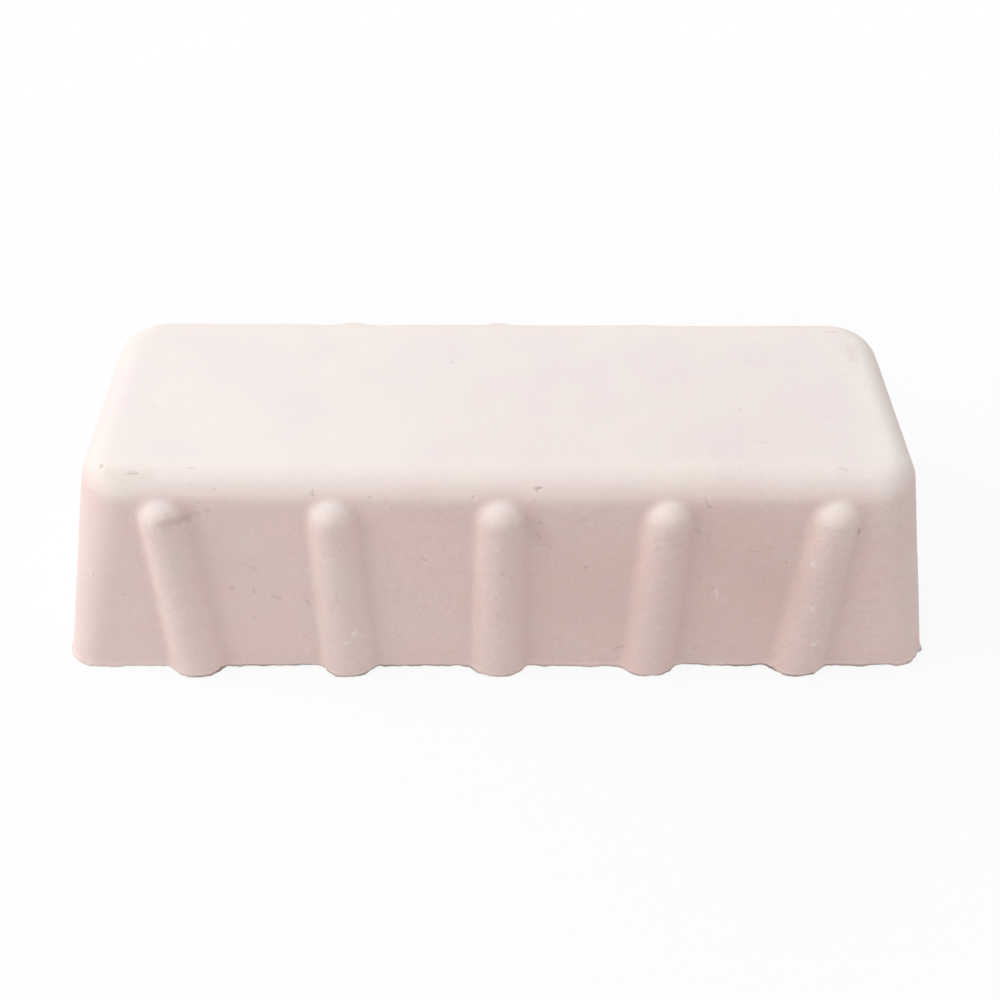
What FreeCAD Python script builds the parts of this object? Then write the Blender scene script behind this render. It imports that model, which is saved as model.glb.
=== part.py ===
"""A cast buffing compound bar: one drafted block with a rounded top edge and ten half-round ribs.

The bar stands on its base, which was the open side of its mould. The origin is the centre of the
base, +X runs along the bar, +Y across it and +Z up. Lengths are millimetres, angles are degrees.
"""
import FreeCAD, Part
import math
import os

# The block at its base, without the ribs
bar_length = 110.0
bar_width = 39.2
bar_height = 29.2

# Draft of the walls, rounding of the corners and of the top edge
end_draft = 15.0
side_draft = 10.0
base_corner_radius = 4.3
top_corner_radius = 6.2
top_edge_radius = 4.0

# The ribs on each long wall: how many, where, and their section
rib_count = 5
rib_end_distance = 16.9
rib_top_gap = 2.35
rib_tip_width = 5.8
rib_tip_height = 1.6
rib_foot_width = 7.0
rib_foot_height = 1.65
rib_root_radius = 1.3

# What follows from the sizes above
end_cosine = math.cos(math.radians(end_draft))
end_slope = math.tan(math.radians(end_draft))
side_cosine = math.cos(math.radians(side_draft))
side_sine = math.sin(math.radians(side_draft))
side_slope = math.tan(math.radians(side_draft))
rib_pitch = (bar_length - 2 * rib_end_distance) / max(rib_count - 1, 1)

ORIGIN = FreeCAD.Vector(0, 0, 0)
X_AXIS = FreeCAD.Vector(1, 0, 0)
Y_AXIS = FreeCAD.Vector(0, 1, 0)
Z_AXIS = FreeCAD.Vector(0, 0, 1)
NEAR = 1e-4


def corner_ball(level, radius):
    """The centre of a ball at that level that touches both walls of the corner at +X and +Y."""
    from_end = level * end_slope + radius / end_cosine
    from_side = level * side_slope + radius / side_cosine
    return FreeCAD.Vector(bar_length / 2 - from_end, bar_width / 2 - from_side, level)


def corner_line(tilt_axis, draft, outward):
    """Where the round of that corner meets one wall: the line's points on the base and on the top."""
    normal = FreeCAD.Rotation(tilt_axis, draft).multVec(outward)
    low = corner_ball(0, base_corner_radius) + normal * base_corner_radius
    high = corner_ball(bar_height, top_corner_radius) + normal * top_corner_radius
    rise = (high - low) / (high.z - low.z)
    return low - rise * low.z, high + rise * (bar_height - high.z)


def flat_cornered_block():
    """The block with a flat across each corner, between the lines where its round will end."""
    side_line = corner_line(X_AXIS, side_draft, Y_AXIS)
    end_line = corner_line(Y_AXIS, -end_draft, X_AXIS)
    outlines = []
    for on_end, on_side in zip(end_line, side_line):
        outlines.append([
            FreeCAD.Vector(sign_x * point.x, sign_y * point.y, point.z)
            for sign_x, sign_y, corner in ((1, 1, (on_end, on_side)), (-1, 1, (on_side, on_end)),
                                           (-1, -1, (on_end, on_side)), (1, -1, (on_side, on_end)))
            for point in corner
        ])
    base, top = outlines
    faces = [Part.Face(Part.makePolygon(outline + outline[:1])) for outline in outlines]
    for index in range(len(base)):
        after = (index + 1) % len(base)
        corners = [base[index], base[after], top[after], top[index], base[index]]
        faces.append(Part.Face(Part.makePolygon(corners)))
    return Part.Solid(Part.Shell(faces))


def corner_round():
    """The round of the corner at +X and +Y: a leaning, widening rod that touches both walls."""
    low = corner_ball(0, base_corner_radius)
    high = corner_ball(bar_height, top_corner_radius)
    along = high - low
    growth = (top_corner_radius - base_corner_radius) / along.Length
    shrink = math.sqrt(1 - growth ** 2)
    over = bar_height
    length = along.Length + 2 * over
    start_radius = (base_corner_radius - growth * over) / shrink
    end_radius = (top_corner_radius + growth * over) / shrink
    outline = Part.makePolygon([
        ORIGIN,
        FreeCAD.Vector(-start_radius, 0, 0),
        FreeCAD.Vector(-end_radius, 0, length),
        FreeCAD.Vector(0, 0, length),
        ORIGIN,
    ])
    rod = Part.Face(outline).revolve(ORIGIN, Z_AXIS, 360)
    start = low - along / along.Length * over
    rod.Placement = FreeCAD.Placement(start, FreeCAD.Rotation(Z_AXIS, along))
    room = FreeCAD.Vector(-bar_length, -bar_length, 0)
    return rod.common(Part.makeBox(2 * bar_length, 2 * bar_length, bar_height, room))


def drafted_block():
    """The block: four drafted walls, corners that widen towards the top, and a rounded top edge."""
    corner = corner_round()
    pair = [corner, corner.mirror(ORIGIN, X_AXIS)]
    rounds = pair + [one.mirror(ORIGIN, Y_AXIS) for one in pair]
    block = flat_cornered_block().multiFuse(rounds).removeSplitter()
    rim = [edge for edge in block.Edges if edge.BoundBox.ZMin > bar_height - NEAR]
    return block.makeFillet(top_edge_radius, rim)


def rod_radius(width, height):
    """The radius of a rod that stands out of a flat wall by the height, and is that wide there."""
    return (width ** 2 / 4 + height ** 2) / (2 * height)


def rib_rod(tip_radius, foot_radius, run):
    """A tapered round rod that hangs from its ball end, whose centre is the origin.

    The rod also touches a ball of the foot radius at the given run below, and goes on a little further.
    """
    taper = math.asin((foot_radius - tip_radius) / run)

    def on_ball(angle):
        return FreeCAD.Vector(tip_radius * math.cos(angle), 0, tip_radius * math.sin(angle))

    tip = on_ball(math.pi / 2)
    middle = on_ball((math.pi / 2 + taper) / 2)
    tangent = on_ball(taper)
    length = run + foot_radius
    end = FreeCAD.Vector(tip_radius / math.cos(taper) + length * math.tan(taper), 0, -length)
    end_centre = FreeCAD.Vector(0, 0, -length)
    outline = Part.Wire([
        Part.Arc(tip, middle, tangent).toShape(),
        Part.LineSegment(tangent, end).toShape(),
        Part.LineSegment(end, end_centre).toShape(),
        Part.LineSegment(end_centre, tip).toShape(),
    ])
    return Part.Face(outline).revolve(ORIGIN, Z_AXIS, 360)


def rib_at(position_x, side):
    """One rib on the wall at +Y (side 1) or -Y (side -1), leaning with it and cut off at the base."""
    foot_on_wall = FreeCAD.Vector(position_x, side * bar_width / 2, 0)
    up_wall = FreeCAD.Vector(0, -side * side_sine, side_cosine)
    outward = FreeCAD.Vector(0, side * side_cosine, side_sine)
    tip_radius = rod_radius(rib_tip_width, rib_tip_height)
    foot_radius = rod_radius(rib_foot_width, rib_foot_height)
    reach = (bar_height - rib_top_gap) / side_cosine - rib_tip_width / 2
    foot = foot_on_wall - outward * (foot_radius - rib_foot_height)
    tip = foot_on_wall + up_wall * reach - outward * (tip_radius - rib_tip_height)
    rib = rib_rod(tip_radius, foot_radius, (tip - foot).Length)
    rib.Placement = FreeCAD.Placement(tip, FreeCAD.Rotation(Z_AXIS, tip - foot))
    corner = FreeCAD.Vector(position_x - bar_width, -bar_width, 0)
    above_base = Part.makeBox(2 * bar_width, 2 * bar_width, bar_height, corner)
    return rib.common(above_base)


def rib_positions():
    """Where the ribs stand along the bar, evenly spaced about its middle."""
    return [(index - (rib_count - 1) / 2) * rib_pitch for index in range(rib_count)]


def root_edges(bar, block, ribs):
    """The edges of the bar, above its base, along which the ribs meet the block."""
    roots = block.section(Part.makeCompound(ribs))
    found = []
    for edge in bar.Edges:
        middle = edge.valueAt((edge.FirstParameter + edge.LastParameter) / 2)
        if middle.z > NEAR and Part.Vertex(middle).distToShape(roots)[0] < NEAR:
            found.append(edge)
    return found


def compound_bar():
    """The whole casting, with the ribs blended into the walls."""
    block = drafted_block()
    ribs = [rib_at(position_x, side) for position_x in rib_positions() for side in (-1, 1)]
    bar = block.multiFuse(ribs).removeSplitter()
    return bar.makeFillet(rib_root_radius, root_edges(bar, block, ribs)).Solids[0]


bar = compound_bar()
os.makedirs("parts", exist_ok=True)
bar.exportStep("parts/compound_bar.step")
box = bar.BoundBox
print(f"compound_bar: {box.XLength:.2f} x {box.YLength:.2f} x {box.ZLength:.2f} mm, "
      f"{bar.Volume / 1000:.2f} cm3, valid {bar.isValid()}, {len(bar.Faces)} faces")
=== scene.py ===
"""The look of the buffing compound bar: a cast, chalky pink bar on a white table.

Lengths in the names that end in _MM are millimetres; Blender's own unit is the metre.
"""
import bpy
import bmesh
import math
import random
import numpy
from mathutils import Matrix, Vector, geometry, noise
from mathutils.bvhtree import BVHTree
from mathutils.kdtree import KDTree


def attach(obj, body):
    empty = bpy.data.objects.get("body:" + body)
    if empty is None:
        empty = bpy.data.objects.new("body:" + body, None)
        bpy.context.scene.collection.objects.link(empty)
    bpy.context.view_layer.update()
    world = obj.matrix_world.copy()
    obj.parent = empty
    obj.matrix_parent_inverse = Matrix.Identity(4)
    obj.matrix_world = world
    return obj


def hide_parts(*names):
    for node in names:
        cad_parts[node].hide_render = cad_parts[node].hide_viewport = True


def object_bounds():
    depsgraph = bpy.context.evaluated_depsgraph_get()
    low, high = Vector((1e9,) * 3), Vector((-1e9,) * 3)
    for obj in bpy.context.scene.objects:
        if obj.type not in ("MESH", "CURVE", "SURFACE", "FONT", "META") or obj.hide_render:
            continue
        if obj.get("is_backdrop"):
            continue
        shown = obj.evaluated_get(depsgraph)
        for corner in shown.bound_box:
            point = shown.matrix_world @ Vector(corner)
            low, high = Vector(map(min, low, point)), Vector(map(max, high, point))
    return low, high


MM = 0.001

# What lies lower than this is the base
BASE_MM = 0.01

# Density of the surface, and the bands along the lower edge and round the marks where it is made
# twice and four times finer
GRID_MM = 0.52
EDGE_BANDS_MM = (0.8, 0.32)
PIT_MARGINS_MM = (0.45, 0.2)

# Rounds that smooth the dense surface, and the band above the base that fades that out
SMOOTH_ROUNDS = 3
SMOOTH_PULLS = (0.5, -0.52)
LOW_LEVEL_MM = 1.2
LOW_BAND_MM = (0.5, 1.1)

# Crests and hollows, which get painted highlight and painted shade, are told by a softened copy: its
# rounds, and the height that counts in full
CREST_ROUNDS = 14
CREST_PULL = 0.5
CREST_MM = 0.16

# Unevenness of the casting: (wavelength, height, offset of the noise)
WAVES_MM = (
    (26.0, 0.16, 3.1),
    (9.0, 0.06, 17.4),
    (3.4, 0.024, 41.9),
    (1.7, 0.010, 73.2),
)

# How much of the unevenness is left at the base, and the band above it where that grows to all
FOOT_SHARE = 0.25
FOOT_BAND_MM = (0.0, 2.5)

# The underside: how a point of it is told, how far it is hollowed, and its share of the unevenness
UNDER_FACING = -0.5
UNDER_LEVEL_MM = 0.05
UNDER_HOLLOW_MM = 0.20
UNDER_SHARE = 0.5
UNDER_BAND_MM = (0.4, 3.0)

# The torn lower edge: how far it is lifted and pushed out, and the waves of both
LIP_LIFT_MM = 0.10
LIP_LIFT_WAVES_MM = (
    (7.0, 0.10, 5.7),
    (2.3, 0.10, 23.1),
    (0.8, 0.05, 61.3),
)
LIP_OUT_MM = 0.05
LIP_OUT_WAVES_MM = (
    (11.0, 0.18, 9.2),
    (3.1, 0.20, 33.8),
    (1.2, 0.16, 50.6),
    (0.6, 0.08, 84.1),
)

# How near the edge it is lifted, and pushed out on the walls and underneath
LIFT_BAND_MM = (0.15, 1.1)
WALL_LIP_BAND_MM = (0.10, 0.75)
UNDER_LIP_BAND_MM = (0.0, 0.45)

# How dark the painted shade along the turned-under edge is along the bar, standing in for the contact
# shadow under the lip: (place along X, share)
EDGE_SHADE_SHARES = (
    (-55.0, 0.15), (-40.0, 0.20), (-37.5, 1.00), (-24.0, 0.80), (-20.0, 0.45),
    (-16.0, 0.90), (-5.0, 0.75), (-1.0, 0.40), (3.0, 0.65), (12.0, 0.40),
    (19.0, 0.55), (25.0, 0.80), (33.0, 1.00), (45.0, 0.80), (55.0, 0.50),
)

# How near the edge the painted shade lies, and how it varies: its middle, spread, wavelength and least
# share
EDGE_SHADE_BAND_MM = (0.16, 0.42)
EDGE_SHADE_MIDDLE = 0.85
EDGE_SHADE_SPREAD = 0.9
EDGE_SHADE_WAVE_MM = 2.2
EDGE_SHADE_LEAST = 0.3

# The pale fringe above the edge: how far up its middle is, and its width
FRINGE_MM = 0.60
FRINGE_WIDTH_MM = 0.18

# How much painted sheen a surface has, a paler colour that stands in for the light from above: what
# faces up less than this has none
PAINTED_SHEEN_START = 0.17
PAINTED_SHEEN_POWER = 1.5

# Crests and hollows are told only above the edge; the painted highlight on crests stands out more where
# they face up, and fades at the ends
CREST_EDGE_BAND_MM = (0.6, 2.2)
CREST_LEAST = 0.7
CREST_GAIN = 1.3
CREST_FACING_BAND = (0.2, 0.6)
CREST_END_BAND_MM = (42.0, 47.0)

# The swell at the tip of each rib: places along X, distance from the middle, height, radius, reach
RIB_PLACES_MM = (-38.1, -19.05, 0.0, 19.05, 38.1)
SWELL_SIDE_MM = 16.9
SWELL_LEVEL_MM = 24.6
SWELL_RADIUS_MM = 1.6
SWELL_OUT_MM = 0.18

# Where tips of the far ribs show over the top's edge: (place, radius, how far out)
FAR_TIPS_MM = (
    ((-18.7, 14.5, 27.5), 1.5, 0.45),
    ((-0.3, 14.5, 27.5), 1.4, 0.42),
    ((18.6, 14.5, 27.5), 1.4, 0.18),
)

# The outlines of the marks: how uneven they are, and the size of that unevenness
MARK_WOBBLE = 0.9
MARK_WOBBLE_MM = 0.28

# How deep and how dark a nick is across it, in its own radii, with the rim it has thrown up
MARK_SHARE = 0.40
NICK_BAND = (0.35, 1.15)
DARK_BAND = (0.3, 1.2)
RIM_SHARE = 0.2
RIM_AWAY = 1.35
RIM_WIDTH = 0.3

# How a scuff stands out across it, the size of its crumbs, and how pale they are, low and high
SCUFF_BAND = (0.3, 1.2)
CRUMB_MM = 0.22
SCUFF_LEAST = 0.4
SCUFF_GAIN = 0.9

# How stains and blushes fade across them
STAIN_BAND = (0.1, 1.3)

# Dark pits, nicks and scratches: (start, end, radius, depth, darkness), at places on the bar
NICKS_MM = (
    ((-44.5, -11.5, 29.0), (-44.5, -11.5, 29.0), 0.34, 0.10, 0.55),
    ((-41.2, -12.6, 28.9), (-40.3, -12.6, 28.9), 0.17, 0.08, 0.60),
    ((-43.7, -12.1, 29.0), (-43.7, -12.1, 29.0), 0.13, 0.04, 0.30),
    ((-34.9, -11.9, 29.1), (-34.3, -11.9, 29.1), 0.14, 0.03, 0.30),
    ((-40.6, -2.2, 29.2), (-40.6, -2.2, 29.2), 0.15, 0.06, 0.40),
    ((30.1, 5.8, 29.2), (30.1, 5.8, 29.2), 0.13, 0.04, 0.25),
    ((30.0, 1.8, 29.2), (30.0, 1.8, 29.2), 0.13, 0.04, 0.25),
    ((41.3, 11.5, 29.2), (42.6, 11.5, 29.2), 0.20, 0.06, 0.35),
    ((29.7, -7.7, 29.2), (30.6, -7.9, 29.2), 0.12, 0.05, 0.35),
    ((38.0, -11.8, 29.1), (38.9, -12.1, 29.1), 0.20, 0.06, 0.35),
    ((-20.9, -14.2, 27.9), (-20.9, -14.3, 27.3), 0.13, 0.06, 0.50),
    ((3.9, -13.9, 28.0), (4.5, -13.9, 28.0), 0.18, 0.09, 0.75),
    ((22.9, -14.6, 27.2), (23.3, -15.0, 26.2), 0.14, 0.05, 0.30),
    ((23.4, -15.0, 26.2), (23.4, -15.0, 26.2), 0.22, 0.08, 0.55),
    ((-33.7, -14.9, 26.6), (-33.7, -14.9, 26.6), 0.18, 0.06, 0.40),
    ((-33.9, -15.2, 25.0), (-33.9, -15.2, 25.0), 0.19, 0.06, 0.45),
    ((-34.8, -13.6, 28.3), (-34.4, -13.6, 28.3), 0.14, 0.03, 0.25),
    ((40.9, -15.7, 23.1), (41.0, -15.7, 22.4), 0.13, 0.10, 0.90),
    ((-32.1, -17.2, 13.7), (-31.6, -17.2, 13.6), 0.20, 0.06, 0.40),
    ((-29.4, -17.2, 13.7), (-29.2, -17.3, 12.9), 0.15, 0.05, 0.35),
    ((-29.9, -16.5, 17.3), (-28.4, -16.7, 16.6), 0.13, 0.05, 0.25),
    ((-27.2, -17.4, 12.4), (-26.4, -17.5, 11.8), 0.20, 0.05, 0.35),
    ((-23.4, -17.6, 11.8), (-22.9, -17.6, 11.1), 0.15, 0.04, 0.30),
    ((-9.0, -16.3, 18.7), (-8.7, -16.4, 18.2), 0.13, 0.06, 0.35),
    ((-8.3, -16.6, 17.0), (-8.3, -16.6, 17.0), 0.15, 0.06, 0.40),
    ((4.5, -15.4, 24.1), (4.6, -15.4, 23.8), 0.16, 0.06, 0.40),
    ((4.1, -15.7, 22.2), (4.6, -15.8, 21.6), 0.15, 0.06, 0.40),
    ((10.0, -16.6, 17.1), (10.2, -16.6, 17.1), 0.20, 0.07, 0.50),
    ((13.6, -17.2, 13.6), (13.6, -17.2, 13.6), 0.18, 0.06, 0.35),
    ((8.7, -15.3, 24.2), (10.0, -15.3, 24.3), 0.14, 0.03, 0.25),
    ((14.6, -19.1, 3.2), (15.7, -18.9, 3.8), 0.17, 0.05, 0.35),
    ((22.5, -15.6, 22.6), (22.7, -15.6, 22.4), 0.16, 0.06, 0.35),
    ((23.9, -15.7, 21.9), (23.9, -15.7, 21.9), 0.15, 0.06, 0.40),
    ((24.5, -19.0, 3.2), (24.8, -19.0, 3.3), 0.20, 0.07, 0.45),
    ((29.0, -16.2, 19.5), (30.6, -16.2, 19.3), 0.14, 0.03, 0.30),
    ((31.2, -16.0, 20.2), (31.9, -16.1, 19.7), 0.13, 0.03, 0.20),
    ((25.5, -17.2, 13.7), (25.5, -17.2, 13.7), 0.17, 0.08, 0.65),
    ((22.4, -18.6, 7.2), (22.9, -18.6, 7.3), 0.15, 0.04, 0.30),
    ((33.7, -16.5, 17.7), (33.7, -16.5, 17.7), 0.22, 0.06, 0.30),
    ((37.3, -17.2, 22.0), (37.3, -17.2, 22.0), 0.15, 0.05, 0.40),
    ((40.5, -18.4, 9.2), (40.6, -18.4, 8.7), 0.15, 0.05, 0.35),
    ((45.8, -15.0, 22.9), (45.8, -15.0, 22.9), 0.32, 0.06, 0.20),
    ((17.7, -16.8, 22.8), (17.7, -16.8, 22.8), 0.13, 0.06, 0.50),
    ((0.3, -17.3, 21.6), (0.3, -17.3, 21.6), 0.15, 0.06, 0.30),
    ((0.2, -18.0, 17.8), (0.2, -18.0, 17.8), 0.16, 0.06, 0.35),
    ((0.0, -18.6, 14.9), (0.0, -18.6, 14.9), 0.14, 0.05, 0.25),
    ((-0.4, -19.3, 11.3), (0.0, -19.3, 10.9), 0.15, 0.06, 0.35),
    ((-0.9, -20.1, 6.2), (-0.9, -20.1, 6.2), 0.16, 0.05, 0.25),
    ((-19.2, -18.9, 14.8), (-19.4, -19.2, 13.0), 0.14, 0.04, 0.25),
    ((54.3, -17.1, 1.4), (54.4, -17.1, 0.9), 0.12, 0.08, 0.60),
)

# Pale scuffs and crumbs: (start, end, radius, height, paleness)
SCUFFS_MM = (
    ((-18.9, -20.2, 6.4), (-18.7, -20.2, 6.3), 0.30, 0.03, 0.90),
    ((-17.8, -19.6, 7.8), (-17.5, -19.5, 7.4), 0.40, 0.02, 0.60),
    ((-16.8, -19.4, 6.6), (-16.4, -19.3, 6.6), 0.22, 0.02, 0.45),
    ((38.9, -20.2, 5.8), (39.1, -20.2, 5.8), 0.26, 0.06, 1.00),
    ((36.2, -17.2, 18.8), (36.6, -17.3, 18.3), 0.24, 0.03, 0.60),
    ((37.3, -19.1, 12.2), (37.7, -19.1, 11.8), 0.20, 0.02, 0.50),
    ((26.0, -17.3, 13.4), (26.2, -17.4, 12.3), 0.22, 0.02, 0.50),
    ((40.8, -12.6, 28.9), (41.2, -12.7, 28.8), 0.20, 0.02, 0.60),
    ((-22.9, -16.7, 16.6), (-22.4, -16.7, 16.6), 0.16, 0.02, 0.45),
    ((-8.4, -16.4, 18.2), (-8.3, -16.4, 18.2), 0.18, 0.03, 0.60),
    ((-7.9, -16.5, 17.4), (-7.9, -16.5, 17.4), 0.15, 0.02, 0.40),
    ((34.0, -16.4, 18.1), (34.0, -16.4, 18.1), 0.18, 0.02, 0.35),
    ((18.3, -17.0, 22.4), (18.5, -17.0, 22.2), 0.16, 0.02, 0.40),
)

# Soft stains: (start, end, radius, strength)
STAINS_MM = (
    ((-37.6, -16.4, 25.0), (-35.1, -15.9, 24.8), 0.65, 0.34),
    ((-35.4, -15.2, 26.3), (-34.6, -15.4, 25.6), 0.90, 0.14),
    ((43.6, 6.3, 29.2), (43.6, 8.6, 29.2), 0.90, 0.16),
    ((3.6, -15.3, 24.0), (4.8, -15.8, 21.6), 1.60, 0.16),
    ((-43.5, -12.6, 28.9), (-39.0, -12.8, 28.8), 1.00, 0.12),
    ((26.0, -15.6, 23.0), (34.0, -16.8, 16.0), 7.00, 0.10),
)

# Broad places where the bar is pinker: (start, end, radius, strength)
BLUSHES_MM = (
    ((10.0, -16.5, 14.0), (30.0, -17.0, 10.0), 16.0, 1.00),
    ((0.0, -8.0, 29.2), (30.0, -6.0, 29.2), 16.0, 0.70),
)

# The broad shallow dimple beside the second rib, and its rim in radii of the dimple
DIMPLE_PLACE_MM = (-13.9, -15.6, 22.9)
DIMPLE_RADIUS_MM = 1.5
DIMPLE_DEPTH_MM = 0.12
DIMPLE_RIM_SHARE = 0.5
DIMPLE_RIM_AWAY = 1.3
DIMPLE_RIM_WIDTH = 0.45

# Flash at the lower corners: (place, radius, how far it stands out)
FLASH_MM = (
    ((54.8, -17.2, 0.0), 0.7, 0.35),
    ((-54.3, -15.5, 0.0), 5.0, 0.12),
    ((-52.0, -19.0, 0.0), 3.0, 0.15),
)

# Small pits and pale crumbs all over the bar: how many, and the range of each measure
PIT_COUNT = 130
PIT_SEED = 11
PIT_REACH_MM = (0.25, 0.15)
PIT_RADIUS_MM = (0.10, 0.20)
PIT_DEPTH_MM = (0.03, 0.07)
PIT_SHADE = (0.1, 0.4)
CRUMB_COUNT = 60
CRUMB_SEED = 23
CRUMB_REACH_MM = (0.3, 0.2)
CRUMB_RADIUS_MM = (0.12, 0.2)
CRUMB_HEIGHT_MM = 0.015
CRUMB_SHADE = (0.15, 0.45)
SCATTER_SIDES = ("front", "back", "front", "back", "left", "right", "top")

# Colours of the compound as on a screen, 0 to 255
WALL_CREAM = (244, 218, 210)
WALL_SAND = (241, 221, 212)
WALL_PINK = (245, 214, 209)
WALL_CLOUD = (236, 217, 209)
# The top's paler colours are painted sheen that stands in for the light from above
TOP_SHEEN_COOL = (239, 230, 229)
TOP_SHEEN_WARM = (241, 234, 228)
# Painted highlight on crests and painted shade in hollows
CREST_HIGHLIGHT_TONE = (249, 237, 230)
HOLLOW_SHADE_TONE = (220, 194, 188)
GRAIN_TONE = (206, 182, 174)
SPECK_TONE = (252, 240, 234)
FRINGE_TONE = (247, 230, 222)
# Painted shade along the lower edge and underside, standing in for the contact shadow under the lip
EDGE_SHADE_TONE = (84, 62, 58)
STAIN_TONE = (182, 148, 130)
NICK_TONE = (92, 72, 62)
SCUFF_TONE = (252, 242, 236)

# What the blushes leave of the colour of the walls and of the top
WALL_BLUSH = (0.945, 0.872, 0.872, 1.0)
TOP_BLUSH = (0.985, 0.95, 0.94, 1.0)

# How far each colour goes at most
PINK_SHARE = 0.5
CLOUD_SHARE = 0.25
CREST_HIGHLIGHT_SHARE = 0.50
HOLLOW_SHADE_SHARE = 0.30
GRAIN_SHARE = 0.30
SPECK_SHARE = 0.10
FRINGE_SHARE = 0.45

# How coarse the grain shows on what faces up and on crests, against 1 on a plain wall
TOP_COARSENESS = 0.3
CREST_COARSENESS = 1.7

# Noises of the material: (waves per metre, detail, roughness, shift)
GRAIN_NOISE = (3600, 3, 0.7, 7.0)
SPECK_NOISE = (1500, 2, 0.6, 47.0)
BLOTCH_NOISE = (95, 3, 0.5, 0.0)
PINK_NOISE = (150, 2, 0.5, 3.0)
CLOUD_NOISE = (60, 2, 0.5, 31.0)
RELIEF_NOISE = (900, 4, 0.6, 11.0)
SHEEN_NOISE = (300, 3, 0.5, 19.0)
STREAK_STRETCH = (1.0, 1.0, 2.2)

# The waxy matt surface: its gloss, its fine relief, and how far light goes into it, in metres
ROUGHNESS = (0.62, 0.76)
REFRACTION = 1.42
RELIEF_STRENGTH = 0.35
RELIEF_HEIGHT = 0.00006
GLOW_SHARE = 0.12
GLOW_RADIUS = (1.0, 0.72, 0.62)
GLOW_SCALE = 0.0012

# Camera, from the photograph's perspective
CAMERA_ELEVATION = 49.33
CAMERA_YAW = 1.27
CAMERA_ROLL = 1.04
CAMERA_DISTANCE_MM = 140.90
CAMERA_TARGET_MM = (0.20, 0.0, 9.83)
FOCAL_SHARE = 1.0610
SENSOR_MM = 36.0
CLIP_START = 0.005

# Light: strength of the world, and the lamps with place in metres and power in watts
WORLD_LIGHT = 0.463
LAMP_SIZE = 0.42
LAMPS = (
    ("left_lamp", (-0.55, 0.0, 0.45), 2.46),
    ("top_lamp", (0.0, 0.0, 0.70), 1.18),
    ("back_lamp", (0.0, 0.50, 0.50), 0.31),
)

# The table: half its side and its drop below the base, and where it fades to plain white, in metres
TABLE_REACH = 3.0
TABLE_DROP = 0.00002
TABLE_FADE = (0.06, 0.16)
TABLE_NEAR_SHARE = 0.86
TABLE_PAINT = (0.90, 0.90, 0.90, 1.0)
WHITE = (1.0, 1.0, 1.0, 1.0)

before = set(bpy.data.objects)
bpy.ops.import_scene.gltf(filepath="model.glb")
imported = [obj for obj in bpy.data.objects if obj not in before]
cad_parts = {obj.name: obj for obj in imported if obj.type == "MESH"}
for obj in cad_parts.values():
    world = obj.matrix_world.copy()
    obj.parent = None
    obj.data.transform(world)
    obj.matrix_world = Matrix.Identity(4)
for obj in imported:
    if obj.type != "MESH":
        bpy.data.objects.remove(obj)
cad_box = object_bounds()
cad_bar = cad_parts["compound_bar"]


def smooth_step(low, high, value):
    """0 below low, 1 above high, and a smooth rise between them."""
    share = min(max((value - low) / (high - low), 0.0), 1.0)
    return share * share * (3 - 2 * share)


def bump(away):
    """1 in the middle of a bump, and a smooth fall around it."""
    return math.exp(-away * away)


def fade(band, away):
    """1 up to the start of a band, and a smooth fall to 0 at its end."""
    return 1 - smooth_step(*band, away)


def wave_sum(place, waves):
    """The sum of several noises at a place, all in millimetres."""
    total = 0.0
    for length, height, offset in waves:
        total += height * noise.noise(place / length + Vector((offset, 2 * offset, -offset)))
    return total


def surface_trees(source):
    """Search trees of a mesh: its whole surface, and all of it but the base."""
    source.calc_loop_triangles()
    points = [vertex.co.copy() for vertex in source.vertices]
    triangles = [tuple(triangle.vertices) for triangle in source.loop_triangles]
    above = [corners for corners in triangles if max(points[i].z for i in corners) > BASE_MM * MM]
    return BVHTree.FromPolygons(points, triangles), BVHTree.FromPolygons(points, above)


def even_mesh(source):
    """A dense mesh with even faces on the same surface as the source."""
    shell = bpy.data.objects.new("even_shell", source.copy())
    bpy.context.collection.objects.link(shell)
    remesh = shell.modifiers.new("even", "REMESH")
    remesh.mode = "VOXEL"
    remesh.voxel_size = GRID_MM * MM
    graph = bpy.context.evaluated_depsgraph_get()
    dense = bpy.data.meshes.new_from_object(shell.evaluated_get(graph))
    bpy.data.objects.remove(shell)
    return dense


def edge_distance(point, walls):
    """How far a point of the surface is from the lower edge of the walls."""
    if point.z > 2 * BASE_MM * MM:
        return point.z
    return walls.find_nearest(point)[3]


class Strokes:
    """Marks on the surface, each a short line with a radius, and what it does there."""

    def __init__(self, rows, surface):
        self.rows = []
        self.tree = KDTree(4 * len(rows))
        for index, (start, end, radius, *effects) in enumerate(rows):
            start = surface.find_nearest(Vector(start) * MM)[0] / MM
            end = surface.find_nearest(Vector(end) * MM)[0] / MM
            self.rows.append((start, end, radius, effects))
            for share in (0.0, 1 / 3, 2 / 3, 1.0):
                self.tree.insert(start.lerp(end, share), index)
        self.tree.balance()
        self.reach = max(0.5 * (end - start).length + 2 * radius for start, end, radius, _ in self.rows)

    def reached(self, place, margin=0.0):
        """The marks that may reach a place, each with the point of its line that is nearest to it."""
        found = {index for _, index, _ in self.tree.find_range(place, self.reach + margin)}
        for index in sorted(found):
            start, end, radius, effects = self.rows[index]
            share = 0.0
            if (end - start).length > 0:
                share = min(max(geometry.intersect_point_line(place, start, end)[1], 0.0), 1.0)
            yield index, start.lerp(end, share), radius, effects

    def near(self, place):
        """The effects of the marks that may reach a place, with the distance in each one's own radii."""
        for index, middle, radius, effects in self.reached(place):
            wobble = noise.noise(place / MARK_WOBBLE_MM + Vector((index, 0, -index)))
            yield (place - middle).length / radius * (1 + MARK_WOBBLE * wobble), effects

    def beside(self, place, margin):
        """Whether a place is on a mark or within that margin of it."""
        found = self.reached(place, margin)
        return any((place - middle).length < radius + margin for _, middle, radius, _ in found)


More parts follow.
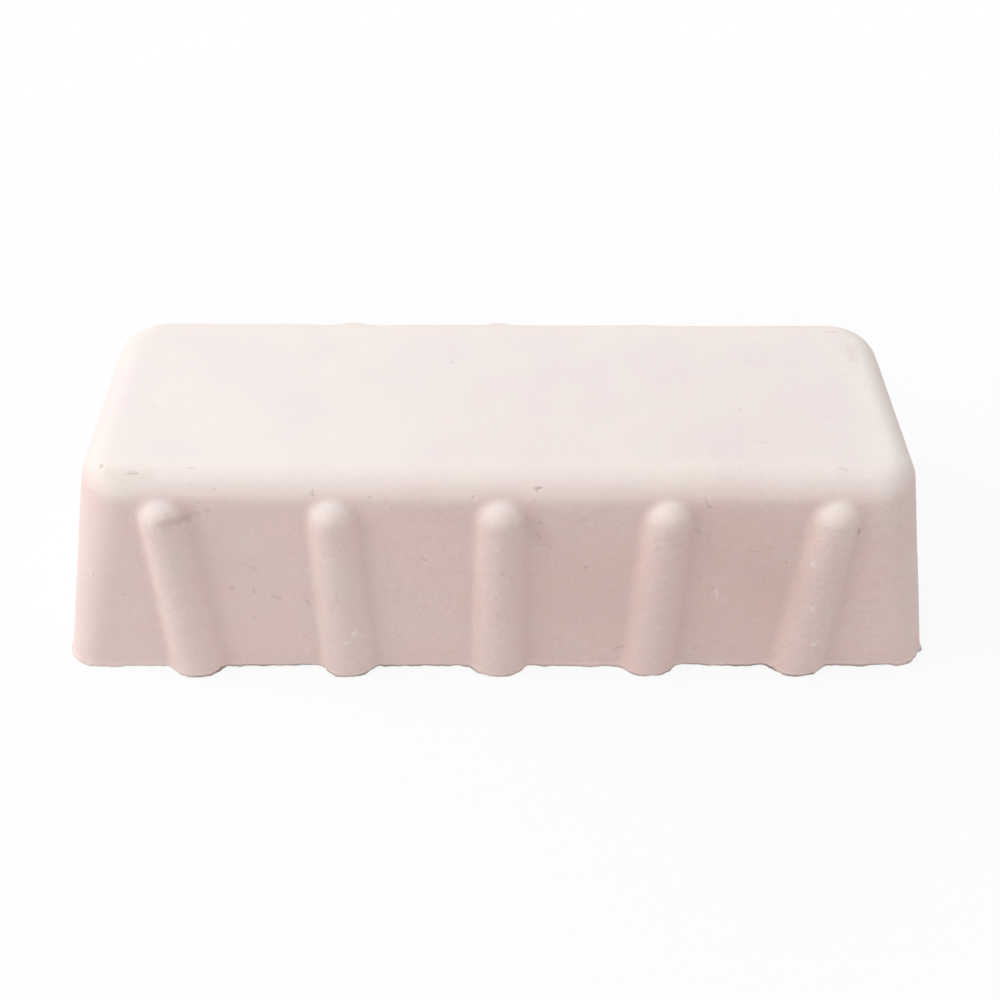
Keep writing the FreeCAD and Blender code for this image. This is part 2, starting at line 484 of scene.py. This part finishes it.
def scattered(count, surface, seed):
    """Places all over the bar, most of them on its walls, and the draw that they came from."""
    draw = random.Random(seed)
    low, high = (Vector(corner) / MM for corner in cad_box)
    places = []
    for _ in range(count):
        place = Vector([draw.uniform(low[axis], high[axis]) for axis in range(3)])
        side = draw.choice(SCATTER_SIDES)
        if side in ("front", "back"):
            place.y = low.y if side == "front" else high.y
        elif side in ("left", "right"):
            place.x = low.x if side == "left" else high.x
        else:
            place.z = high.z
        places.append(surface.find_nearest(place * MM)[0] / MM)
    return places, draw


def drawn_end(place, draw, reach):
    """A place a little further along the bar and up it."""
    along, up = reach
    return place + Vector((draw.uniform(-along, along), 0, draw.uniform(-up, up)))


def all_nicks(surface):
    """The nicks of the photograph and small pits scattered over the bar."""
    places, draw = scattered(PIT_COUNT, surface, PIT_SEED)
    rows = list(NICKS_MM)
    for place in places:
        end = drawn_end(place, draw, PIT_REACH_MM)
        measures = [draw.uniform(*limits) for limits in (PIT_RADIUS_MM, PIT_DEPTH_MM, PIT_SHADE)]
        rows.append((place, end, *measures))
    return Strokes(rows, surface)


def all_scuffs(surface):
    """The pale marks of the photograph and small crumbs scattered over the bar."""
    places, draw = scattered(CRUMB_COUNT, surface, CRUMB_SEED)
    rows = list(SCUFFS_MM)
    for place in places:
        end = drawn_end(place, draw, CRUMB_REACH_MM)
        radius, shade = (draw.uniform(*limits) for limits in (CRUMB_RADIUS_MM, CRUMB_SHADE))
        rows.append((place, end, radius, CRUMB_HEIGHT_MM, shade))
    return Strokes(rows, surface)


class Web:
    """The points of a mesh and its edges, as arrays."""

    def __init__(self, mesh):
        self.points = numpy.empty(len(mesh.vertices) * 3)
        mesh.vertices.foreach_get("co", self.points)
        self.points = self.points.reshape(-1, 3)
        pairs = numpy.empty(len(mesh.edges) * 2, dtype=numpy.int64)
        mesh.edges.foreach_get("vertices", pairs)
        self.first, self.second = pairs.reshape(-1, 2).T
        size = len(self.points)
        self.count = sum(numpy.bincount(ends, minlength=size) for ends in (self.first, self.second))

    def pull(self):
        """From each point to the middle of its neighbours."""
        total = numpy.zeros_like(self.points)
        numpy.add.at(total, self.first, self.points[self.second])
        numpy.add.at(total, self.second, self.points[self.first])
        return total / self.count[:, None] - self.points


def smoothed(mesh, walls):
    """Takes the flats of the tessellation out of the round parts, and leaves the lower edge."""
    web = Web(mesh)
    free = numpy.ones(len(web.points))
    for index in numpy.nonzero(web.points[:, 2] < LOW_LEVEL_MM * MM)[0]:
        free[index] = smooth_step(*LOW_BAND_MM, edge_distance(Vector(web.points[index]), walls) / MM)
    for factor in SMOOTH_PULLS * SMOOTH_ROUNDS:
        web.points += factor * free[:, None] * web.pull()
    mesh.vertices.foreach_set("co", web.points.ravel())
    mesh.update()


def softened(mesh):
    """A search tree of a softened copy of the surface."""
    web = Web(mesh)
    for _ in range(CREST_ROUNDS):
        web.points += CREST_PULL * web.pull()
    points = [Vector(point) for point in web.points]
    return BVHTree.FromPolygons(points, [tuple(polygon.vertices) for polygon in mesh.polygons])


def refined(mesh, walls, whole, nicks, scuffs):
    """Splits the faces along the lower edge and at the marks."""
    shape = bmesh.new()
    shape.from_mesh(mesh)
    for band, margin in zip(EDGE_BANDS_MM, PIT_MARGINS_MM):
        near = set()
        for vertex in shape.verts:
            place = vertex.co / MM
            low = place.z < band and edge_distance(vertex.co, walls) < band * MM
            if low or nicks.beside(place, margin) or scuffs.beside(place, margin):
                near.add(vertex)
        edges = [edge for edge in shape.edges if edge.verts[0] in near and edge.verts[1] in near]
        bmesh.ops.subdivide_edges(shape, edges=edges, cuts=1, use_grid_fill=True, smooth=1.0)
        for vertex in shape.verts:
            if vertex.co.z < LOW_LEVEL_MM * MM:
                share = smooth_step(*LOW_BAND_MM, edge_distance(vertex.co, walls) / MM)
                vertex.co = whole.find_nearest(vertex.co)[0].lerp(vertex.co, share)
    bmesh.ops.recalc_face_normals(shape, faces=shape.faces)
    shape.to_mesh(mesh)
    shape.free()
    mesh.update()


def swell(place):
    """How far the tips of the ribs stand out a little more at a place."""
    nearest = min(RIB_PLACES_MM, key=lambda along: abs(place.x - along))
    tip = Vector((nearest, math.copysign(SWELL_SIDE_MM, place.y), SWELL_LEVEL_MM))
    out = SWELL_OUT_MM * bump((place - tip).length / SWELL_RADIUS_MM)
    for tip, radius, reach in FAR_TIPS_MM:
        out += reach * bump((place - Vector(tip)).length / radius)
    return out


class Spot:
    """A point of the surface, in metres and millimetres, and where it is from the lower edge."""

    def __init__(self, point, normal, walls):
        self.point = point.copy()
        self.normal = normal
        self.place = self.point / MM
        self.outline = Vector((self.place.x, self.place.y, 0))
        self.under = normal.z < UNDER_FACING and self.place.z < UNDER_LEVEL_MM
        self.edge_mm = edge_distance(self.point, walls) / MM

    def outwards(self, walls):
        """The level direction away from the bar."""
        away = Vector((self.normal.x, self.normal.y, 0))
        if self.under:
            nearest = walls.find_nearest(self.point)[0] / MM
            away = Vector((nearest.x - self.place.x, nearest.y - self.place.y, 0))
            if away.length <= 0.001:
                away = self.outline
        return away.normalized()


def cast_move(spot, walls):
    """The unevenness of the casting at a spot, and what its torn lower edge adds, in millimetres."""
    push = wave_sum(spot.place, WAVES_MM) + swell(spot.place)
    lift = max(LIP_LIFT_MM + wave_sum(spot.outline, LIP_LIFT_WAVES_MM), 0.0)
    out = LIP_OUT_MM + wave_sum(spot.outline, LIP_OUT_WAVES_MM)
    for flash_place, radius, reach in FLASH_MM:
        out += reach * bump((spot.place - Vector(flash_place)).length / radius)
    if spot.under:
        hollow = (UNDER_HOLLOW_MM + UNDER_SHARE * push) * smooth_step(*UNDER_BAND_MM, spot.edge_mm)
        move = Vector((0, 0, hollow))
        lip = fade(UNDER_LIP_BAND_MM, spot.edge_mm)
    else:
        share = smooth_step(*FOOT_BAND_MM, spot.place.z)
        move = spot.normal * push * (FOOT_SHARE + (1 - FOOT_SHARE) * share)
        lip = fade(WALL_LIP_BAND_MM, spot.edge_mm)
    move.z += lift * fade(LIFT_BAND_MM, spot.edge_mm)
    return move + spot.outwards(walls) * out * lip


def dimple_move(spot):
    """The dimple and its rim at a spot, in millimetres."""
    away = (spot.place - Vector(DIMPLE_PLACE_MM)).length / DIMPLE_RADIUS_MM
    rim = DIMPLE_RIM_SHARE * bump((away - DIMPLE_RIM_AWAY) / DIMPLE_RIM_WIDTH)
    return -spot.normal * DIMPLE_DEPTH_MM * (bump(away) - rim)


def nick_marks(spot, nicks):
    """How the nicks move a spot, in millimetres, and how dark they make it."""
    move = Vector()
    darkness = 0.0
    for away, (depth, shade) in nicks.near(spot.place):
        rim = RIM_SHARE * bump((away - RIM_AWAY) / RIM_WIDTH)
        move -= spot.normal * depth * (fade(NICK_BAND, away) - rim)
        darkness = max(darkness, MARK_SHARE * shade * fade(DARK_BAND, away))
    return move, darkness


def scuff_marks(spot, scuffs):
    """How the scuffs move a spot, in millimetres, and how pale they make it."""
    move = Vector()
    paleness = 0.0
    for away, (height, shade) in scuffs.near(spot.place):
        bulge = fade(SCUFF_BAND, away)
        rough = 0.5 + noise.noise(spot.place / CRUMB_MM)
        move += spot.normal * height * bulge * rough
        paleness = max(paleness, shade * bulge * min(max(SCUFF_LEAST + SCUFF_GAIN * rough, 0.0), 1.0))
    return move, paleness


def stained(spot, stains):
    """How strongly the soft marks colour a spot."""
    found = stains.near(spot.place)
    return max((strength * fade(STAIN_BAND, away) for away, (strength,) in found), default=0.0)


def spot_tones(spot, soft):
    """How much painted sheen, painted edge shade, pale fringe and crest a spot has, each from 0 to 1;
    crests above 0.5 get painted highlight and hollows below it painted shade.
    """
    # Painted sheen: what faces up is made paler, standing in for the light from above
    painted_sheen = max((spot.normal.z - PAINTED_SHEEN_START) / (1 - PAINTED_SHEEN_START), 0.0) ** PAINTED_SHEEN_POWER
    # Painted shade: the lower edge and the underside are made dark, standing in for the contact shadow
    # under the lip
    edge = 1.0 if spot.under else fade(EDGE_SHADE_BAND_MM, spot.edge_mm)
    edge *= numpy.interp(spot.place.x, *zip(*EDGE_SHADE_SHARES))
    varied = EDGE_SHADE_MIDDLE + EDGE_SHADE_SPREAD * noise.noise(spot.outline / EDGE_SHADE_WAVE_MM)
    edge *= min(max(varied, EDGE_SHADE_LEAST), 1.0)
    fringe = 0.0 if spot.under else bump((spot.edge_mm - FRINGE_MM) / FRINGE_WIDTH_MM)
    # Painted highlight on crests and painted shade in hollows, told from how far a spot stands out of
    # the softened copy
    crest = (spot.point - soft.find_nearest(spot.point)[0]).dot(spot.normal) / MM / CREST_MM
    crest *= smooth_step(*CREST_EDGE_BAND_MM, spot.edge_mm)
    if crest > 0:
        crest *= CREST_LEAST + CREST_GAIN * smooth_step(*CREST_FACING_BAND, spot.normal.z)
        crest *= fade(CREST_END_BAND_MM, abs(spot.place.x))
    return painted_sheen, edge, fringe, min(max(0.5 + 0.5 * crest, 0.0), 1.0)


def cast_bar_mesh():
    """The bar's surface with the unevenness of the casting, its marks and its torn lower edge."""
    whole, walls = surface_trees(cad_bar.data)
    mesh = even_mesh(cad_bar.data)
    for vertex in mesh.vertices:
        vertex.co = whole.find_nearest(vertex.co)[0]
    smoothed(mesh, walls)
    soft = softened(mesh)
    nicks = all_nicks(whole)
    scuffs = all_scuffs(whole)
    stains = Strokes(STAINS_MM, whole)
    blushes = Strokes(BLUSHES_MM, whole)
    refined(mesh, walls, whole, nicks, scuffs)
    normals = [vertex.normal.copy() for vertex in mesh.vertices]
    tones = mesh.attributes.new("tones", "FLOAT_COLOR", "POINT")
    marks = mesh.attributes.new("marks", "FLOAT_COLOR", "POINT")
    for vertex, normal in zip(mesh.vertices, normals):
        spot = Spot(vertex.co, normal, walls)
        nick_move, darkness = nick_marks(spot, nicks)
        scuff_move, paleness = scuff_marks(spot, scuffs)
        move = cast_move(spot, walls) + nick_move + scuff_move + dimple_move(spot)
        vertex.co = spot.point + move * MM
        tones.data[vertex.index].color = spot_tones(spot, soft)
        soft_marks = [stained(spot, strokes) for strokes in (stains, blushes)]
        marks.data[vertex.index].color = (darkness, paleness, *soft_marks)
    for polygon in mesh.polygons:
        polygon.use_smooth = True
    mesh.update()
    return mesh


class Nodes:
    """A short way to write a material's nodes."""

    def __init__(self, material):
        material.use_nodes = True
        self.tree = material.node_tree
        self.tree.nodes.clear()

    def add(self, kind, settings=None, **inputs):
        """A node with its settings, and values or links for its inputs."""
        node = self.tree.nodes.new(kind)
        for name, value in (settings or {}).items():
            setattr(node, name, value)
        for name, value in inputs.items():
            self.set(node, name.replace("_", " "), value)
        return node

    def set(self, node, name, value):
        """Gives one input a value, or links an output to it."""
        socket = node.inputs[int(name)] if name.isdigit() else node.inputs[name]
        if isinstance(value, bpy.types.NodeSocket):
            self.tree.links.new(value, socket)
        else:
            socket.default_value = value

    def place(self, stretch=(1, 1, 1)):
        """The object's own coordinates, stretched along its axes."""
        coordinates = self.add("ShaderNodeTexCoord")
        mapping = self.add("ShaderNodeMapping", None, Scale=stretch)
        self.tree.links.new(coordinates.outputs["Object"], mapping.inputs["Vector"])
        return mapping.outputs[0]

    def noise(self, place, scale, detail, roughness, shift):
        """Noise at a wavelength of 1 / scale metres."""
        moved = self.add("ShaderNodeVectorMath", {"operation": "ADD"})
        self.tree.links.new(place, moved.inputs[0])
        moved.inputs[1].default_value = (shift, shift * 0.7, -shift)
        node = self.add("ShaderNodeTexNoise", None, Scale=scale, Detail=detail, Roughness=roughness)
        self.tree.links.new(moved.outputs[0], node.inputs["Vector"])
        return node.outputs["Fac"]

    def spread(self, value, low, high, to_low=0.0, to_high=1.0):
        """Stretches low..high to to_low..to_high, and keeps to that range."""
        node = self.add("ShaderNodeMapRange", {"clamp": True})
        self.tree.links.new(value, node.inputs[0])
        for index, number in enumerate((low, high, to_low, to_high), start=1):
            node.inputs[index].default_value = number
        return node.outputs[0]

    def math(self, operation, first, second):
        """The result of a sum, a product or the like."""
        node = self.add("ShaderNodeMath", {"operation": operation})
        self.set(node, "0", first)
        self.set(node, "1", second)
        return node.outputs[0]

    def times(self, first, second):
        """The product of two values."""
        return self.math("MULTIPLY", first, second)

    def plus(self, first, second):
        """The sum of two values."""
        return self.math("ADD", first, second)

    def mix(self, share, first, second, blend="MIX"):
        """A colour between the first and the second, or the first times the second."""
        node = self.add("ShaderNodeMix", {"data_type": "RGBA", "blend_type": blend})
        self.set(node, "0", share)
        self.set(node, "6", first)
        self.set(node, "7", second)
        return node.outputs[2]

    def channels(self, name):
        """The four values of a colour attribute."""
        attribute = self.add("ShaderNodeAttribute", {"attribute_name": name})
        parts = self.add("ShaderNodeSeparateColor")
        self.tree.links.new(attribute.outputs["Color"], parts.inputs[0])
        return (*parts.outputs[:3], attribute.outputs["Alpha"])


def colour(red, green, blue):
    """A colour written as on a screen, 0 to 255, in Blender's linear values."""
    def linear(level):
        share = level / 255
        return share / 12.92 if share <= 0.04045 else ((share + 0.055) / 1.055) ** 2.4
    return linear(red), linear(green), linear(blue), 1.0


def plain_tone(nodes, place, painted_sheen, blush):
    """The walls' pink with soft blotches, and the paler painted sheen on what faces up, which stands in
    for the light from above.
    """
    streaky = nodes.place(STREAK_STRETCH)
    blotches = nodes.spread(nodes.noise(streaky, *BLOTCH_NOISE), 0.40, 0.60)
    pink = nodes.spread(nodes.noise(streaky, *PINK_NOISE), 0.45, 0.62)
    cloud = nodes.spread(nodes.noise(place, *CLOUD_NOISE), 0.35, 0.65)
    wall = nodes.mix(blotches, colour(*WALL_CREAM), colour(*WALL_SAND))
    wall = nodes.mix(nodes.times(pink, PINK_SHARE), wall, colour(*WALL_PINK))
    wall = nodes.mix(nodes.times(cloud, CLOUD_SHARE), wall, colour(*WALL_CLOUD))
    wall = nodes.mix(blush, wall, WALL_BLUSH, "MULTIPLY")
    top = nodes.mix(blotches, colour(*TOP_SHEEN_COOL), colour(*TOP_SHEEN_WARM))
    top = nodes.mix(blush, top, TOP_BLUSH, "MULTIPLY")
    return nodes.mix(painted_sheen, wall, top)


def compound_material():
    """Chalky wax-bound compound: pink walls, a top made paler by painted sheen, painted highlight on
    crests and painted shade in hollows and along the lower edge, fine grain and the marks.
    """
    material = bpy.data.materials.new("compound")
    nodes = Nodes(material)
    place = nodes.place()
    painted_sheen, edge, fringe, crest = nodes.channels("tones")
    darkness, paleness, stain, blush = nodes.channels("marks")
    grain = nodes.noise(place, *GRAIN_NOISE)
    specks = nodes.noise(place, *SPECK_NOISE)
    coarse = nodes.times(nodes.spread(painted_sheen, 0.0, 0.35, 1.0, TOP_COARSENESS),
                         nodes.spread(crest, 0.55, 0.9, 1.0, CREST_COARSENESS))
    layers = (
        # Painted highlight on crests and painted shade in hollows
        (nodes.spread(crest, 0.5, 1.0, 0.0, CREST_HIGHLIGHT_SHARE), CREST_HIGHLIGHT_TONE),
        (nodes.spread(crest, 0.5, 0.0, 0.0, HOLLOW_SHADE_SHARE), HOLLOW_SHADE_TONE),
        (nodes.times(nodes.spread(grain, 0.3, 0.7, 0.0, GRAIN_SHARE), coarse), GRAIN_TONE),
        (nodes.times(nodes.spread(specks, 0.3, 0.7, 0.0, SPECK_SHARE), coarse), SPECK_TONE),
        (nodes.times(fringe, FRINGE_SHARE), FRINGE_TONE),
        # Painted shade along the lower edge
        (edge, EDGE_SHADE_TONE),
        (stain, STAIN_TONE),
        (darkness, NICK_TONE),
        (paleness, SCUFF_TONE),
    )
    tone = plain_tone(nodes, place, painted_sheen, blush)
    for share, layer_tone in layers:
        tone = nodes.mix(share, tone, colour(*layer_tone))
    height = nodes.plus(nodes.times(grain, 0.5), nodes.noise(place, *RELIEF_NOISE))
    bump_node = nodes.add("ShaderNodeBump", None,
                          Strength=RELIEF_STRENGTH, Distance=RELIEF_HEIGHT, Height=height)
    shader = nodes.add("ShaderNodeBsdfPrincipled", None, Base_Color=tone, Normal=bump_node.outputs[0])
    shader.subsurface_method = "RANDOM_WALK"
    nodes.set(shader, "Roughness", nodes.spread(nodes.noise(place, *SHEEN_NOISE), 0.3, 0.7, *ROUGHNESS))
    shader.inputs["IOR"].default_value = REFRACTION
    shader.inputs["Subsurface Weight"].default_value = GLOW_SHARE
    shader.inputs["Subsurface Radius"].default_value = GLOW_RADIUS
    shader.inputs["Subsurface Scale"].default_value = GLOW_SCALE
    output = nodes.add("ShaderNodeOutputMaterial")
    nodes.tree.links.new(shader.outputs[0], output.inputs[0])
    return material


def make_bar():
    """The visible bar, in place of the plain CAD solid."""
    bar = bpy.data.objects.new("cast_bar", cast_bar_mesh())
    bpy.context.collection.objects.link(bar)
    bar.data.materials.clear()
    bar.data.materials.append(compound_material())
    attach(bar, "root")
    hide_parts("compound_bar")


def seen_directly(nodes):
    """1 for rays that show the background itself, and 0 for those that light the object."""
    path = nodes.add("ShaderNodeLightPath")
    total = nodes.plus(path.outputs["Is Camera Ray"], path.outputs["Is Glossy Ray"])
    return nodes.spread(nodes.plus(total, path.outputs["Is Transmission Ray"]), 0.0, 1.0)


def make_floor():
    """A wide white table that keeps a soft, weak shadow near the bar."""
    mesh = bpy.data.meshes.new("table_top")
    corners = [(TABLE_REACH * x, TABLE_REACH * y, 0) for x, y in ((-1, -1), (1, -1), (1, 1), (-1, 1))]
    mesh.from_pydata(corners, [], [(0, 1, 2, 3)])
    floor = bpy.data.objects.new("table_top", mesh)
    floor.location.z = -TABLE_DROP
    bpy.context.collection.objects.link(floor)
    material = bpy.data.materials.new("white_table")
    nodes = Nodes(material)
    paint = nodes.add("ShaderNodeBsdfDiffuse", None, Color=TABLE_PAINT)
    glow = nodes.add("ShaderNodeEmission", None, Color=WHITE, Strength=1.0)
    distance = nodes.add("ShaderNodeVectorMath", {"operation": "LENGTH"})
    nodes.tree.links.new(nodes.place(), distance.inputs[0])
    share = nodes.spread(distance.outputs["Value"], *TABLE_FADE, TABLE_NEAR_SHARE, 1.0)
    blend = nodes.add("ShaderNodeMixShader")
    nodes.set(blend, "0", nodes.times(seen_directly(nodes), share))
    nodes.tree.links.new(paint.outputs[0], blend.inputs[1])
    nodes.tree.links.new(glow.outputs[0], blend.inputs[2])
    output = nodes.add("ShaderNodeOutputMaterial")
    nodes.tree.links.new(blend.outputs[0], output.inputs[0])
    floor.data.materials.append(material)
    floor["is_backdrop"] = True


def make_world():
    """Even white light from all round."""
    world = bpy.data.worlds.new("studio")
    bpy.context.scene.world = world
    nodes = Nodes(world)
    strength = nodes.spread(seen_directly(nodes), 0.0, 1.0, WORLD_LIGHT, 1.0)
    light = nodes.add("ShaderNodeBackground", None, Color=WHITE, Strength=strength)
    output = nodes.add("ShaderNodeOutputWorld")
    nodes.tree.links.new(light.outputs[0], output.inputs[0])


def make_lamp(name, place, power):
    """A square soft lamp that faces the bar."""
    lamp = bpy.data.lights.new(name, "AREA")
    lamp.shape = "SQUARE"
    lamp.size = LAMP_SIZE
    lamp.energy = power
    stand = bpy.data.objects.new(name, lamp)
    stand.location = place
    stand.rotation_euler = (-Vector(place)).to_track_quat("-Z", "Y").to_euler()
    bpy.context.collection.objects.link(stand)


def make_camera():
    """The photograph's camera."""
    rise = math.radians(CAMERA_ELEVATION)
    yaw = math.radians(CAMERA_YAW)
    roll = math.radians(CAMERA_ROLL)
    look = Vector((math.sin(yaw) * math.cos(rise), math.cos(yaw) * math.cos(rise), -math.sin(rise)))
    level_right = Vector((math.cos(yaw), -math.sin(yaw), 0))
    level_up = level_right.cross(look)
    right = level_right * math.cos(roll) + level_up * math.sin(roll)
    up = right.cross(look)
    lens = bpy.data.cameras.new("camera")
    lens.sensor_width = SENSOR_MM
    lens.lens = FOCAL_SHARE * SENSOR_MM
    lens.clip_start = CLIP_START
    camera = bpy.data.objects.new("camera", lens)
    turn = Matrix((right, up, -look)).transposed().to_4x4()
    place = Vector(CAMERA_TARGET_MM) * MM - look * CAMERA_DISTANCE_MM * MM
    camera.matrix_world = Matrix.Translation(place) @ turn
    bpy.context.collection.objects.link(camera)
    bpy.context.scene.camera = camera


bpy.context.scene.view_settings.view_transform = "Standard"
make_camera()
make_bar()
make_floor()
make_world()
for lamp_name, lamp_place, lamp_power in LAMPS:
    make_lamp(lamp_name, lamp_place, lamp_power)

seen_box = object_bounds()
boxes = (("cad", cad_box), ("seen", seen_box))
{name: [list(corner) for corner in box] for name, box in boxes}
